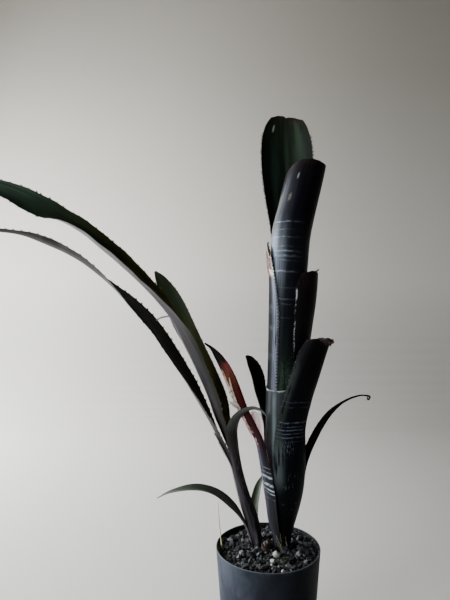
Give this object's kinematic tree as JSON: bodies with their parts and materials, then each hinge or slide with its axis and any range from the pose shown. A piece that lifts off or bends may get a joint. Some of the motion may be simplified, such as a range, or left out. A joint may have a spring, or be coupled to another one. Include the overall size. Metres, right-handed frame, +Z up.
{
  "type": "potted billbergia",
  "caption": "Tubular bromeliad with a leaning offshoot, dark silver-banded strap leaves and small marginal teeth, growing in a plain round nursery pot.",
  "frame": {"origin": "middle of the pot's flat underside, on the surface that the pot stands on", "axes": "+Z up, -Y towards the plant's front, and the offshoot's long leaves arch towards -X"},
  "size_m": [0.478, 0.105, 0.5621],
  "materials": {
    "pot_plastic": "matte",
    "potting_mix": "matte",
    "stem_tissue": "matte",
    "stump_bark": "matte",
    "straw": "matte",
    "leaf_green": "satin",
    "leaf_silvered": "satin",
    "leaf_dark": "satin",
    "leaf_purple": "satin",
    "leaf_red": "matte",
    "leaf_withered": "matte"
  },
  "bodies": {
    "root": {"pot": "pot_plastic", "soil": "potting_mix", "runner_stump": "stump_bark", "dry_straw": "straw", "tall_stem": "stem_tissue", "young_stem": "stem_tissue", "tall_leaf_back": "leaf_green", "tall_leaf_front": "leaf_silvered", "tall_leaf_left": "leaf_silvered", "tall_leaf_right": "leaf_dark", "tall_leaf_collar": "leaf_silvered", "tall_leaf_front_right": "leaf_dark", "tall_leaf_left_short": "leaf_dark", "tall_leaf_right_narrow": "leaf_dark", "tall_leaf_red": "leaf_red", "tall_leaf_withered": "leaf_withered", "young_leaf_broad": "leaf_green", "young_leaf_upper": "leaf_green", "young_leaf_lower": "leaf_purple", "young_leaf_stub": "leaf_purple", "young_leaf_recurved": "leaf_purple", "young_leaf_green": "leaf_green", "young_leaf_low": "leaf_green"}
  },
  "joints": []
}
